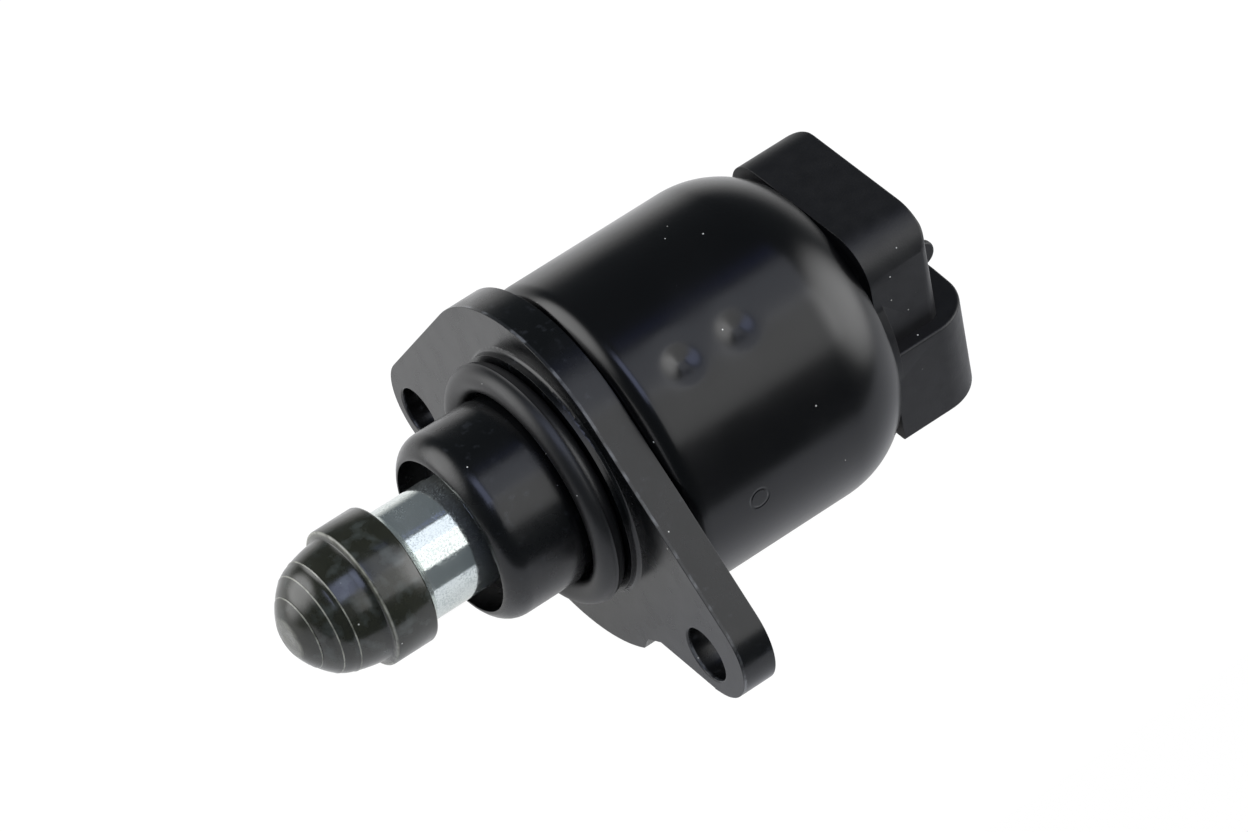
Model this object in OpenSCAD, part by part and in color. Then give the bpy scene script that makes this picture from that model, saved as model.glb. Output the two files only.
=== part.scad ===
// Idle air control valve: a stepper motor in a steel can drives a pintle along the valve axis.
// The valve axis is X. The origin lies on it, in the plane of the flange's front face.
// The pintle points to -X, the connector is at +X, and its socket opens downwards, to -Z.

/* [Flange] */
// Thickness of the flange
flange_t = 4; // [3.6:0.1:5]
// Radius of the upper lobe that covers the can
lobe_r = 18.2; // [17.8:0.1:19]
// Sideways shift of the upper lobe
lobe_y = 2.8; // [2:0.1:3.5]
// Height of the upper lobe's centre
lobe_z = -1.15; // [-2:0.05:0]
// Radius of the lower lobe, about the valve axis
low_lobe_r = 20.8; // [19.5:0.1:22]
// Distance between the two screw holes
hole_pitch = 49; // [47:0.5:52]
// Sideways place of the middle between the holes
hole_mid_y = 1.8; // [1:0.1:3]
// Height of the holes
hole_z = -10.1; // [-11:0.1:-9]
// Radius of the holes
hole_r = 3.05; // [2.6:0.05:3.3]
// Radius of the ear on the -Y side
left_ear_r = 6; // [5.6:0.1:6.5]
// Radius of the ear on the +Y side
right_ear_r = 6.2; // [6:0.1:6.6]

/* [Nose] */
// Wall of the nose
nose_wall = 1.85; // [1.6:0.05:2.1]
// How far the nose stands in front of the flange
nose_len = 13.15; // [12.9:0.05:14]
// Radius of the wide rounding outside the nose's mouth
nose_round = 2.75; // [2.3:0.05:3]
// Width of the flat lip round the mouth
nose_lip = 0.16; // [0.1:0.02:0.3]
// Depth of the seal ring's seat in the nose
ring_seat_depth = 0.2; // [0.16:0.02:0.4]
// How far the seal boss stands out round the nose
boss_step = 3.25; // [3:0.05:3.6]
// Height of the seal boss
boss_h = 1; // [0.8:0.1:1.5]
// Radius of the soft fillet round the boss
boss_fillet = 0.5; // [0.3:0.1:0.8]
// Section radius of the seal ring
ring_section_r = 1.6; // [1.4:0.05:1.7]

/* [Can] */
// Outer radius of the can
can_r = 18; // [17.8:0.1:19]
// Wall of the can
can_wall = 1; // [0.7:0.1:1.1]
// Length of the can
can_len = 28.4; // [28:0.1:29]
// Corner radius at the closed front end
can_front_round = 2; // [1.5:0.1:3]
// Radius of the rolled rear shoulder
can_rear_round = 11; // [10.8:0.1:11.6]
// Axial length of the rolled shoulder
can_rear_len = 7.5; // [7.2:0.1:7.6]
// Radius of the punch that makes the locking dents
dent_ball_r = 2.2; // [1.8:0.1:2.6]
// Depth of the locking dents
dent_depth = 0.55; // [0.3:0.05:0.6]
// Angle of the dents, from the top towards -Y
dent_angle = 35.1; // [30:0.1:40]

/* [Pintle] */
// How far the plug's cylinder stands out round the tube
plug_step_out = 1.45; // [1.2:0.05:1.6]
// Length of the plug's cylinder
plug_cyl_len = 5; // [4:0.1:6]
// Length of the plug from its back to its tip
plug_len = 12.75; // [12.5:0.05:13.5]
// Place of the plug's back at rest
plug_back_x = -20.3; // [-21:0.1:-20.3]
// Outer radius of the tube
tube_r = 6.25; // [6:0.05:6.5]
// Wall of the tube
tube_wall = 1; // [0.8:0.1:1.2]
// Wall of the bush that guides the tube
guide_wall = 2.38; // [2.1:0.02:2.6]
// Length of the flared collar behind the plug
collar_len = 0.9; // [0.6:0.05:1.2]
// Radius of the lead screw
screw_r = 2.4; // [2:0.1:2.6]
// Travel from rest as the pintle opens the port
travel_open = 6; // [4:0.5:6]
// Travel from rest as the pintle closes the port
travel_close = 2; // [1:0.5:2]

/* [Bearings] */
// Outer radius of the ball bearing
bearing_r = 8; // [7.9:0.05:8.2]
// Bore radius of the ball bearing
bearing_bore_r = 3.5; // [3.4:0.05:3.6]
// Width of the ball bearing
bearing_w = 3.45; // [3.4:0.05:3.5]
// Radius of the balls
ball_r = 1.15; // [1:0.05:1.2]
// Number of balls
ball_count = 8; // [6:1:9]
// Radius of the rotor's rear journal
rear_journal_r = 3; // [2.9:0.05:3.2]
// Outer radius of the rear bush
rear_bush_r = 5; // [4.6:0.1:5.4]
// Length of the rear bush
rear_bush_len = 2; // [1.8:0.1:2.2]

/* [Motor] */
// Length of the stator
stator_len = 17.8; // [17.4:0.1:17.9]
// Thickness of the pole plates
pole_t = 0.8; // [0.6:0.1:1]
// Number of claw teeth on each pole plate
tooth_count = 6; // [4:1:8]
// Inner radius of the ring of claw teeth
tooth_in_r = 9; // [8.9:0.05:9.2]
// Outer radius of the ring magnet
magnet_r = 8.5; // [8:0.1:8.6]
// Radius of the rotor's hub
hub_r = 4.75; // [4.6:0.05:4.9]
// Outer radius of the windings
winding_r = 15; // [13:0.1:15.2]

/* [Connector] */
// Half width of the connector's body
body_half_w = 11.4; // [11:0.1:12]
// Height of the body's flat top above the axis
body_top_z = 13.95; // [13:0.05:14.2]
// Corner radius of the body's top edges
body_round = 4.6; // [4:0.1:5.5]
// Place of the body's rear face
body_rear_x = 41; // [40.5:0.1:42]
// Half width of the socket's skirt
skirt_half_w = 13.1; // [12.8:0.1:13.6]
// Place of the skirt's rear face
skirt_rear_x = 44.6; // [44:0.1:46]
// Corner radius of the skirt, seen from above
skirt_round = 5.3; // [4.5:0.1:6]
// Height of the ledge on top of the skirt
skirt_top_z = 1; // [0:0.1:2]
// Depth of the skirt's rim below the axis
skirt_low = 10.2; // [10:0.1:11]
// Wall of the skirt
skirt_wall = 1.8; // [1.5:0.1:2.1]
// Number of pins
pin_count = 4; // [2:1:4]
// Distance between the pins
pin_pitch = 5; // [4:0.1:5.4]
// Width of a pin
pin_w = 2.8; // [2.2:0.1:3]
// Thickness of a pin
pin_t = 0.8; // [0.6:0.1:1]

/* [Hidden] */
$fn = 96;

// Clearances: parts that rest on each other, a press fit, a running fit and an air gap
seat_gap = 0.1;
press_gap = 0.02;
run_gap = 0.05;
air_gap = 0.3;
cut = 1;

// Places along the axis, from the flange to the rear
can_x0 = flange_t + seat_gap;
can_x1 = can_x0 + can_len;
shoulder_x = can_x1 - can_rear_len;
can_in_x = can_x0 + can_wall;
web_x = flange_t - 0.2;
pocket_x = can_in_x + seat_gap;
washer_t = 0.26;
bearing_x0 = pocket_x + air_gap;
bearing_x1 = bearing_x0 + bearing_w;
stator_x0 = bearing_x1 + run_gap;
stator_x1 = stator_x0 + stator_len;
stator_mid_x = (stator_x0 + stator_x1) / 2;
disc_x0 = stator_x1 + run_gap;
hub_rear_x = stator_x1 - 0.25;
magnet_x0 = stator_x0 + pole_t + air_gap;
magnet_x1 = stator_x1 - pole_t - air_gap;
disc_rim_len = 2.05;
block_x0 = can_x1 + 0.6;

// The can's inner shoulder radius at a place x along the axis
function shoulder_r(x) = can_r - can_rear_round
    + sqrt(pow(can_rear_round - can_wall, 2) - pow(x - shoulder_x, 2));

// A profile in the plane of radius and axis, turned about the valve axis
module turned() rotate([0, 90, 0]) rotate_extrude() children();

// A rectangle of such a profile
module band(r0, r1, x0, x1) translate([r0, x0]) square([r1 - r0, x1 - x0]);

// An outline in Y and Z, extruded along the valve axis
module across(x0, x1) translate([x0, 0, 0]) rotate([90, 0, 90]) linear_extrude(x1 - x0) children();

// A straight rod along the valve axis
module rod(r, x0, x1) translate([x0, 0, 0]) rotate([0, 90, 0]) cylinder(r = r, h = x1 - x0);

// Two discs and the band between their outer tangents
module link(p, r, q, s) {
    d = q - p;
    along = atan2(d[1], d[0]);
    lean = acos((r - s) / norm(d));
    up = [cos(along + lean), sin(along + lean)];
    down = [cos(along - lean), sin(along - lean)];
    translate(p) circle(r);
    translate(q) circle(s);
    polygon([p + r * up, q + s * up, q + s * down, p + r * down]);
}

// Flange and nose
left_hole = [hole_mid_y - hole_pitch / 2, hole_z];
right_hole = [hole_mid_y + hole_pitch / 2, hole_z];
left_ear = left_hole + [-0.45, 1.6];
right_ear = right_hole + [-1.55, 1];
lobe = [lobe_y, lobe_z];
low_lobe_left = -10.6;
low_lobe_right = 10.4;
waist_len = 3.6;
waist_knee = [1.05, 2.05];
nose_bore_r = tube_r + run_gap + guide_wall + press_gap;
nose_r = nose_bore_r + nose_wall;
nose_round_r = nose_r - nose_round;
nose_round_x = -nose_len + sqrt(pow(nose_round, 2) - pow(nose_bore_r + nose_lip - nose_round_r, 2));
boss_r = nose_r + boss_step;
ring_seat_r = nose_r - ring_seat_depth;
ring_clear = 0.3;
ring_r = ring_seat_r + ring_clear + ring_section_r;
ring_x = -boss_h - run_gap - ring_section_r;
ring_seat_x = ring_x - ring_section_r - seat_gap;
hub_groove_r = 12;
hub_rim_r = 13.2;
web_hole_r = screw_r + 0.8;

// Points of the slant between an ear's flat lower edge and the lower lobe, whose side is at limit
function waist(place, r, limit) = let(corner = [limit, -sqrt(pow(low_lobe_r, 2) - pow(limit, 2))])
    [[limit + sign(limit) * waist_len, place[1] - r],
        corner + [sign(limit) * waist_knee[0], waist_knee[1]], corner];

module ear(place, r, limit) {
    low = place[1] - r;
    deep = -2 * low_lobe_r;
    difference() {
        link(lobe, lobe_r, place, r);
        polygon(concat([[place[0], low]], waist(place, r, limit), [[limit, deep], [place[0], deep]]));
    }
    polygon(concat([[limit, 0], [limit + sign(limit) * waist_len, 0]], waist(place, r, limit)));
}

module flange_outline() {
    ear(left_ear, left_ear_r, low_lobe_left);
    ear(right_ear, right_ear_r, low_lobe_right);
    intersection() {
        circle(low_lobe_r);
        translate([low_lobe_left, -2 * low_lobe_r]) square([low_lobe_right - low_lobe_left, 2 * low_lobe_r]);
    }
}

module nose_profile() {
    band(nose_bore_r, nose_r, nose_round_x, ring_seat_x);
    band(nose_bore_r, ring_seat_r, nose_round_x, web_x);
    intersection() {
        translate([nose_round_r, nose_round_x]) circle(nose_round);
        band(nose_bore_r, nose_r, -nose_len, nose_round_x);
    }
    band(nose_bore_r, boss_r, -boss_h, 0);
    difference() {
        band(boss_r, boss_r + boss_fillet, -boss_fillet, 0);
        translate([boss_r + boss_fillet, -boss_fillet]) circle(boss_fillet);
    }
    band(web_hole_r, hub_groove_r, web_x, pocket_x);
    band(bearing_r + press_gap, hub_groove_r, pocket_x, stator_x0 - run_gap);
    band(bearing_r + press_gap, hub_rim_r, can_in_x + press_gap, stator_x0 - run_gap);
}

module flange_nose() color("#1c1c1e") {
    difference() {
        across(0, flange_t) flange_outline();
        rod(nose_r, -cut, flange_t + cut);
        for (h = [left_hole, right_hole])
            translate([0, h[0], h[1]]) rod(hole_r, -cut, flange_t + cut);
    }
    turned() nose_profile();
}

module o_ring() color("#101010")
    turned() translate([ring_r, ring_x]) circle(ring_section_r);

// Can: a deep-drawn cup whose rear edge is rolled over the connector
module can_fill(r, front_round, rear_round, x0, x1) {
    band(0, r - front_round, x0, shoulder_x);
    band(0, r, x0 + front_round, shoulder_x);
    translate([r - front_round, x0 + front_round]) circle(front_round);
    band(0, r - rear_round, shoulder_x, x1);
    intersection() {
        translate([r - rear_round, shoulder_x]) circle(rear_round);
        band(0, r, shoulder_x, x1);
    }
}

dent_x = [10.8, 17.55];

module can() color("#202224")
    difference() {
        turned() difference() {
            can_fill(can_r, can_front_round, can_rear_round, can_x0, can_x1);
            can_fill(can_r - can_wall, can_front_round - can_wall, can_rear_round - can_wall,
                can_in_x, can_x1 + cut);
            band(0, hub_groove_r + press_gap, can_x0 - cut, can_in_x + cut);
        }
        for (x = dent_x)
            rotate([dent_angle, 0, 0])
                translate([x, 0, can_r + dent_ball_r - dent_depth])
                    sphere(dent_ball_r);
    }

// Pintle: plug, tube and screw move together
plug_r = tube_r + plug_step_out;
plug_step = 0.75;
plug_tip_x = plug_back_x - plug_len;
plug_edge = 0.3;
// The plug's edges towards the tip: how far each lies inside the cylinder, and its distance from the tip
plug_rings = [[1.45, 4.3], [2.18, 2.73], [3.72, 1.2], [5.62, 0]];
collar_r = plug_r - 0.45;
tube_front_t = 1.4;
tube_x1 = web_x - air_gap - travel_open;
tube_x0 = plug_back_x + collar_len;
screw_grip = 6;
screw_x0 = plug_back_x - screw_grip;
screw_x1 = 22;
shoulder_flange_r = 3.8;
key_w = 2.4;
key_x0 = -6.2;
slot_x0 = key_x0 - travel_open - 0.4;
slot_angle = 45;

module pintle_head() color("#34362f")
    turned() difference() {
        polygon(concat(
            [[0, plug_back_x], [plug_r - plug_edge, plug_back_x], [plug_r, plug_back_x - plug_edge],
                [plug_r, plug_back_x - plug_cyl_len],
                [plug_r - plug_step, plug_back_x - plug_cyl_len - plug_edge / 2]],
            [for (ring = plug_rings) [plug_r - ring[0], plug_tip_x + ring[1]]],
            [[0, plug_tip_x]]));
        band(0, screw_r + press_gap, screw_x0 - press_gap, plug_back_x + cut);
    }

module pintle_tube() color("#c8ccd0")
    difference() {
        turned() polygon([[0, plug_back_x + press_gap], [collar_r, plug_back_x + press_gap],
            [tube_r, tube_x0], [tube_r, tube_x1], [0, tube_x1]]);
        rod(screw_r + press_gap, plug_back_x - cut, tube_x1);
        rod(tube_r - tube_wall, tube_x0 + tube_front_t, tube_x1 + cut);
        rotate([slot_angle, 0, 0])
            translate([slot_x0, -tube_r - cut, -key_w / 2 - run_gap])
                cube([tube_x1 + cut - slot_x0, 2 * (tube_r + cut), key_w + 2 * run_gap]);
    }

module lead_screw() color("#a8a8a4")
    turned() {
        band(0, screw_r, screw_x0, screw_x1);
        band(0, shoulder_flange_r, tube_x0 + tube_front_t + press_gap, tube_x0 + tube_front_t + 1);
    }

// Guide bush and wiper in the nose
bush_x0 = -8.7;
bush_x1 = -1;
bush_r = nose_bore_r - press_gap;
bush_bore_r = tube_r + run_gap;
wiper_t = 1.5;
wiper_lip_t = 0.7;

module guide_bush() color("#5a5240") {
    turned() band(bush_bore_r, bush_r, bush_x0, bush_x1);
    intersection() {
        turned() band(tube_r - tube_wall, bush_bore_r + run_gap, key_x0, bush_x1);
        rotate([slot_angle, 0, 0])
            translate([key_x0, -tube_r - cut, -key_w / 2])
                cube([bush_x1 - key_x0, 2 * (tube_r + cut), key_w]);
    }
}

module wiper_seal() color("#181818")
    turned() polygon([[tube_r + run_gap, bush_x0 - wiper_t], [tube_r + wiper_lip_t, bush_x0 - wiper_t],
        [bush_r, bush_x0 - wiper_t / 1.5], [bush_r, bush_x0 - press_gap],
        [tube_r + wiper_lip_t / 1.4, bush_x0 - press_gap]]);

// Ball bearing at the front of the rotor
ball_pitch_r = (bearing_r + bearing_bore_r) / 2;
groove_r = ball_r + run_gap;
land = 0.75;
bearing_mid_x = (bearing_x0 + bearing_x1) / 2;
cage_half_t = 0.48;
cage_half_len = 1.35;

module ball_groove() translate([ball_pitch_r, bearing_mid_x]) circle(groove_r);

module preload_washer() color("#b4b4b0")
    turned() band(bearing_r - 1.1, bearing_r - 0.1, pocket_x + press_gap, pocket_x + press_gap + washer_t);

module bearing_outer_ring() color("#b8bcc0")
    turned() difference() {
        band(ball_pitch_r + land, bearing_r, bearing_x0, bearing_x1);
        ball_groove();
    }

module bearing_inner_ring() color("#b8bcc0")
    turned() difference() {
        band(bearing_bore_r + press_gap, ball_pitch_r - land, bearing_x0, bearing_x1);
        ball_groove();
    }

module each_ball()
    for (i = [0 : ball_count - 1])
        rotate([i * 360 / ball_count, 0, 0])
            translate([bearing_mid_x, 0, ball_pitch_r])
                children();

module bearing_balls() color("#d8dcdf") each_ball() sphere(ball_r);

module ball_cage() color("#b08a50")
    difference() {
        turned() band(ball_pitch_r - cage_half_t, ball_pitch_r + cage_half_t,
            bearing_mid_x - cage_half_len, bearing_mid_x + cage_half_len);
        each_ball() sphere(ball_r + run_gap);
    }

// Rotor: a moulded hub with the screw's nut thread in it, and a ring magnet round it
journal_x0 = bearing_x0 + run_gap;
rear_journal_x1 = disc_x0 + rear_bush_len - run_gap;

module rotor_nut() color("#d9d3c4")
    turned() difference() {
        union() {
            band(0, bearing_bore_r, journal_x0, bearing_x1 + run_gap);
            band(0, hub_r, bearing_x1 + press_gap, hub_rear_x);
            band(0, rear_journal_r, hub_rear_x, rear_journal_x1);
        }
        band(0, screw_r + run_gap, journal_x0 - cut, rear_journal_x1 + cut);
    }

module rotor_magnet() color("#3a3c40")
    turned() band(hub_r + press_gap, magnet_r, magnet_x0, magnet_x1);

module rear_bush() color("#a07a48")
    turned() band(rear_journal_r + run_gap, rear_bush_r - press_gap, disc_x0, disc_x0 + rear_bush_len);

// Stator: two coils on bobbins between four claw-pole plates
cup_r = can_r - can_wall - 0.2;
cup_wall = 1;
front_plate_in_r = 7.2;
tooth_t = 0.8;
tooth_root_w = 6;
tooth_tip_w = 3.4;
tooth_len = stator_mid_x - stator_x0 - 2 * pole_t - 0.4;

// Claw teeth that rise from a plate at x, towards dir, turned by a fraction of the tooth pitch
module teeth(x, dir, turn)
    intersection() {
        turned() band(tooth_in_r, tooth_in_r + tooth_t, stator_x0, stator_x1);
        for (i = [0 : tooth_count - 1])
            rotate([(i + turn) * 360 / tooth_count, 0, 0])
                linear_extrude(tooth_in_r + 2)
                    polygon([[x, -tooth_root_w / 2], [x + dir * tooth_len, -tooth_tip_w / 2],
                        [x + dir * tooth_len, tooth_tip_w / 2], [x, tooth_root_w / 2]]);
    }

module pole_cup(x, dir, mid_x, in_r, turn) {
    turned() {
        band(in_r, cup_r, min(x, x + dir * pole_t), max(x, x + dir * pole_t));
        band(cup_r - cup_wall, cup_r, min(x, mid_x), max(x, mid_x));
    }
    teeth(x, dir, turn);
}

module pole_plate(x, dir, turn) {
    turned() band(tooth_in_r, cup_r - cup_wall - press_gap, min(x, x + dir * pole_t), max(x, x + dir * pole_t));
    teeth(x, dir, turn);
}

module front_pole_cup() color("#8c9094")
    pole_cup(stator_x0, 1, stator_mid_x - press_gap, front_plate_in_r, 0);

module front_pole_plate() color("#8c9094") pole_plate(stator_mid_x - press_gap, -1, 0.5);

module rear_pole_plate() color("#8c9094") pole_plate(stator_mid_x + press_gap, 1, 0.25);

module rear_pole_cup() color("#8c9094")
    pole_cup(stator_x1, -1, stator_mid_x + press_gap, tooth_in_r, 0.75);

bobbin_in_r = tooth_in_r + tooth_t + 0.1;
bobbin_t = 0.8;
bobbin_core_t = 1;
bobbin_len = stator_mid_x - stator_x0 - 2 * pole_t - 0.2;
front_bobbin_x = stator_x0 + pole_t + 0.08;
rear_bobbin_x = stator_mid_x + pole_t + 0.1;

module bobbin(x)
    turned() {
        band(bobbin_in_r, bobbin_in_r + bobbin_core_t, x, x + bobbin_len);
        band(bobbin_in_r, winding_r + 0.5, x, x + bobbin_t);
        band(bobbin_in_r, winding_r + 0.5, x + bobbin_len - bobbin_t, x + bobbin_len);
    }

module winding(x)
    turned() band(bobbin_in_r + bobbin_core_t + press_gap, winding_r,
        x + bobbin_t + press_gap, x + bobbin_len - bobbin_t - press_gap);

module front_bobbin() color("#d8d2b8") bobbin(front_bobbin_x);

module rear_bobbin() color("#d8d2b8") bobbin(rear_bobbin_x);

module front_winding() color("#a8562a") winding(front_bobbin_x);

module rear_winding() color("#a8562a") winding(rear_bobbin_x);

// Connector: one moulding with the disc that closes the can, the body and the socket's skirt
disc_r = shoulder_r(disc_x0 + disc_rim_len) - seat_gap;
neck_gap = 0.3;
neck_r = shoulder_r(can_x1) - neck_gap;
rear_seal_section_r = 0.85;
rear_seal_x = disc_x0 + disc_rim_len + rear_seal_section_r + seat_gap;
disc_wall = 1.2;
room_x = disc_x0 + disc_wall;
room_out_r = disc_r - disc_wall;
bush_wall = 1.3;
journal_room = 0.6;
body_corner_r = 1.6;
body_far_corner_r = 4;
skirt_x0 = block_x0;
skirt_floor_z = skirt_top_z - skirt_wall;
socket_x0 = skirt_x0 + skirt_wall + 0.2;
socket_x1 = skirt_rear_x - skirt_wall;
pin_x = (socket_x0 + socket_x1) / 2;
pin_top_z = 7.9;
pin_tip_z = -6;
tail_x = disc_x0 + 0.3;
nub_r = 1.5;
nub_t = 0.9;
nub_y = -8.2;
nub_z = 6.3;
nub_rear_x = body_rear_x + 2.4;

// A plan outline in X and Y with round rear corners, of radius r at -Y and far_r at +Y
module plan(x0, x1, half_w, r, far_r) {
    translate([x0, -half_w]) square([x1 - r - x0, half_w]);
    translate([x0, 0]) square([x1 - far_r - x0, half_w]);
    translate([x0, r - half_w]) square([x1 - x0, 2 * half_w - r - far_r]);
    translate([x1 - r, r - half_w]) circle(r);
    translate([x1 - far_r, half_w - far_r]) circle(far_r);
}

// A plan outline with four round corners
module round_plan(x0, x1, half_w, r) {
    plan(x0 + r, x1, half_w, r, r);
    translate([x0, r - half_w]) square([x1 - r - x0, 2 * (half_w - r)]);
    for (side = [-1, 1])
        translate([x0 + r, side * (half_w - r)]) circle(r);
}

module body_section() {
    translate([-body_half_w, 0]) square([2 * body_half_w, body_top_z - body_round]);
    translate([body_round - body_half_w, 0]) square([2 * (body_half_w - body_round), body_top_z]);
    for (side = [-1, 1])
        translate([side * (body_half_w - body_round), body_top_z - body_round]) circle(body_round);
}

module terminal_shapes()
    for (i = [0 : pin_count - 1])
        translate([0, (i - (pin_count - 1) / 2) * pin_pitch, 0]) {
            translate([pin_x - pin_t / 2, -pin_w / 2, pin_tip_z])
                cube([pin_t, pin_w, pin_top_z - pin_tip_z]);
            translate([room_x, -pin_w / 2, pin_top_z - pin_t])
                cube([pin_x - room_x, pin_w, pin_t]);
            translate([tail_x, -pin_t / 2, pin_top_z - pin_t])
                cube([room_x - tail_x, pin_t, pin_t]);
        }

module terminals() color("#c9b27a") terminal_shapes();

module rear_seal() color("#141414")
    turned() translate([neck_r + run_gap + rear_seal_section_r, rear_seal_x]) circle(rear_seal_section_r);

module connector() color("#232326")
    difference() {
        union() {
            turned() {
                band(0, disc_r, disc_x0, disc_x0 + disc_rim_len);
                band(0, neck_r, disc_x0, block_x0 + cut);
            }
            intersection() {
                across(block_x0, body_rear_x) body_section();
                linear_extrude(2 * body_top_z) plan(block_x0 - cut, body_rear_x, body_half_w, body_corner_r,
                    body_far_corner_r);
            }
            translate([0, 0, -skirt_low])
                linear_extrude(skirt_low + skirt_top_z)
                    plan(skirt_x0, skirt_rear_x, skirt_half_w, skirt_round, skirt_round);
            translate([0, nub_y + nub_t, nub_z])
                rotate([90, 0, 0])
                    linear_extrude(nub_t) {
                        translate([nub_rear_x - nub_r, 0]) circle(nub_r);
                        translate([body_rear_x - cut, -nub_r])
                            square([nub_rear_x - nub_r - body_rear_x + cut, 2 * nub_r]);
                    }
        }
        turned() {
            band(rear_bush_r + bush_wall, room_out_r, disc_x0 - cut, room_x);
            band(0, rear_bush_r, disc_x0 - cut, disc_x0 + rear_bush_len + run_gap);
            band(0, rear_journal_r + journal_room, disc_x0 - cut, disc_x0 + rear_bush_len + journal_room);
        }
        translate([0, 0, -skirt_low - cut])
            linear_extrude(skirt_low + cut + skirt_floor_z)
                round_plan(socket_x0, socket_x1, skirt_half_w - skirt_wall, skirt_round - skirt_wall);
        terminal_shapes();
    }

flange_nose();
o_ring();
can();
pintle_head();
pintle_tube();
lead_screw();
guide_bush();
wiper_seal();
preload_washer();
bearing_outer_ring();
bearing_inner_ring();
bearing_balls();
ball_cage();
rotor_nut();
rotor_magnet();
rear_bush();
front_pole_cup();
front_pole_plate();
rear_pole_plate();
rear_pole_cup();
front_bobbin();
rear_bobbin();
front_winding();
rear_winding();
terminals();
rear_seal();
connector();
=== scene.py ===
import math

import bmesh
import bpy
from mathutils import Matrix, Vector


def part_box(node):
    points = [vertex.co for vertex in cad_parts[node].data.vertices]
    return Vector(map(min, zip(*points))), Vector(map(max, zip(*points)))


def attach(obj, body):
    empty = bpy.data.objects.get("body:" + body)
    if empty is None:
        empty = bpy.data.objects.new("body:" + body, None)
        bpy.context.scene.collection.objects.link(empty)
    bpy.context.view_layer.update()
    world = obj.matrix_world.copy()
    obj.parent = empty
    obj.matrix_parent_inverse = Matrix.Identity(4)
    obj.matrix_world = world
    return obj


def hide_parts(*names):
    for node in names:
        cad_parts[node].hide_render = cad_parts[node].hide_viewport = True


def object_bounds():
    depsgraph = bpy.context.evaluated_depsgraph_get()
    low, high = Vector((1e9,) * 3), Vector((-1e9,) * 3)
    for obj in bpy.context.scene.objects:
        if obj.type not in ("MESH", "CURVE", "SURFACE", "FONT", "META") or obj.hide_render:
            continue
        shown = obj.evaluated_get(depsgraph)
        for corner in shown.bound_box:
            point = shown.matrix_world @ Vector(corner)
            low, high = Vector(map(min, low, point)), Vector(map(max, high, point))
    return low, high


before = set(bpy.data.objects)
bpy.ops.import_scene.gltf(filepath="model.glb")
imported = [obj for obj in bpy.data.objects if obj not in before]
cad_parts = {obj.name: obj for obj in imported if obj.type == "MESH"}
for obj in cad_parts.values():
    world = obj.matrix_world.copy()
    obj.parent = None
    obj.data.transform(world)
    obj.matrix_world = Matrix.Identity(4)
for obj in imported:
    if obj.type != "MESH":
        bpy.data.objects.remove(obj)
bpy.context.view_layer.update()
MM = 0.001


# Can: a deep-drawn steel cup, dipped in black coat and baked. Its rear edge is rolled over the
# connector, and two blows of a round punch lock it to the stator. The coat flows thick and
# glossy, so it mirrors the room softly, and the dents have no sharp rim.
CAN_COAT = "#060607"
DUST = "#d2d2cc"
ON_AXIS = 1e-6
can_low, can_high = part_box("can")
can_r = can_high.z / MM
can_x0 = can_low.x / MM
can_x1 = can_high.x / MM
can_wall = 1.0
can_hole_r = 12.1
front_round = 2.0
face_ring = 0.5
shoulder_round = 11.0
shoulder_x = can_x1 - 7.5
rim_round = 0.25
wall_step = 0.25
# Dents and mark lie at (millimetres along the axis, degrees from the top towards -Y)
dents = [(10.8, 36.0), (17.55, 36.0)]
dent_depth = 0.55
dent_reach = 1.7
ring_mark = (12.2, 90.4)
ring_mark_r = 1.1
# The mark's groove: half its width at the floor and at the edge, and its depth
groove_floor = 0.04
groove_edge = 0.2
groove_depth = 0.06
# The wall is cut finely over the dents and coarsely round the rest
fine_span = 32.0
fine_steps = 64
coarse_steps = 218


def linear(code):
    """An sRGB hex colour as the linear colour that shader sockets take."""
    channels = [int(code[i:i + 2], 16) / 255 for i in (1, 3, 5)]
    return [c / 12.92 if c <= 0.04045 else ((c + 0.055) / 1.055) ** 2.4 for c in channels] + [1]


def add(tree, kind, inputs=None, out=0, **settings):
    """Adds a node with its settings and gives its output. Inputs are values, hex colours or outputs."""
    made = tree.nodes.new(kind)
    for name, value in settings.items():
        setattr(made, name, value)
    for name, value in (inputs or {}).items():
        if isinstance(value, bpy.types.NodeSocket):
            tree.links.new(value, made.inputs[name])
        else:
            made.inputs[name].default_value = linear(value) if isinstance(value, str) else value
    return made.outputs[out] if made.outputs else None


def new_material(name):
    """An empty material, its node tree, and the place on the object that patterns start from."""
    made = bpy.data.materials.new(name)
    made.use_nodes = True
    tree = made.node_tree
    tree.nodes.clear()
    return made, tree, add(tree, "ShaderNodeTexCoord", out="Object")


def dust(tree, place, spacing, size):
    """One where a speck of dust lies, about size millimetres wide, in cells of spacing millimetres."""
    # Real specks are finer than a pixel, so they are drawn a few times too wide to show
    patches = add(tree, "ShaderNodeTexNoise", {"Vector": place, "Scale": 1 / (spacing * 2.3 * MM)})
    rare = add(tree, "ShaderNodeMapRange", {"Value": patches, "From Min": 0.52, "From Max": 0.54})
    cells = add(tree, "ShaderNodeTexVoronoi", {"Vector": place, "Scale": 1 / (spacing * MM)},
                out="Distance")
    speck = add(tree, "ShaderNodeMapRange", {
        "Value": cells, "From Min": 0.5 * size / spacing, "From Max": 0.3 * size / spacing})
    return add(tree, "ShaderNodeMath", {0: rare, 1: speck}, operation="MULTIPLY")


def arc(x, r, radius, start, end, steps):
    """Points (place along the axis, radius) of an arc, from start to end degrees; 0 points to +X."""
    turns = [math.radians(start + (end - start) * i / steps) for i in range(steps + 1)]
    return [(x + radius * math.cos(t), r + radius * math.sin(t)) for t in turns]


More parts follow.
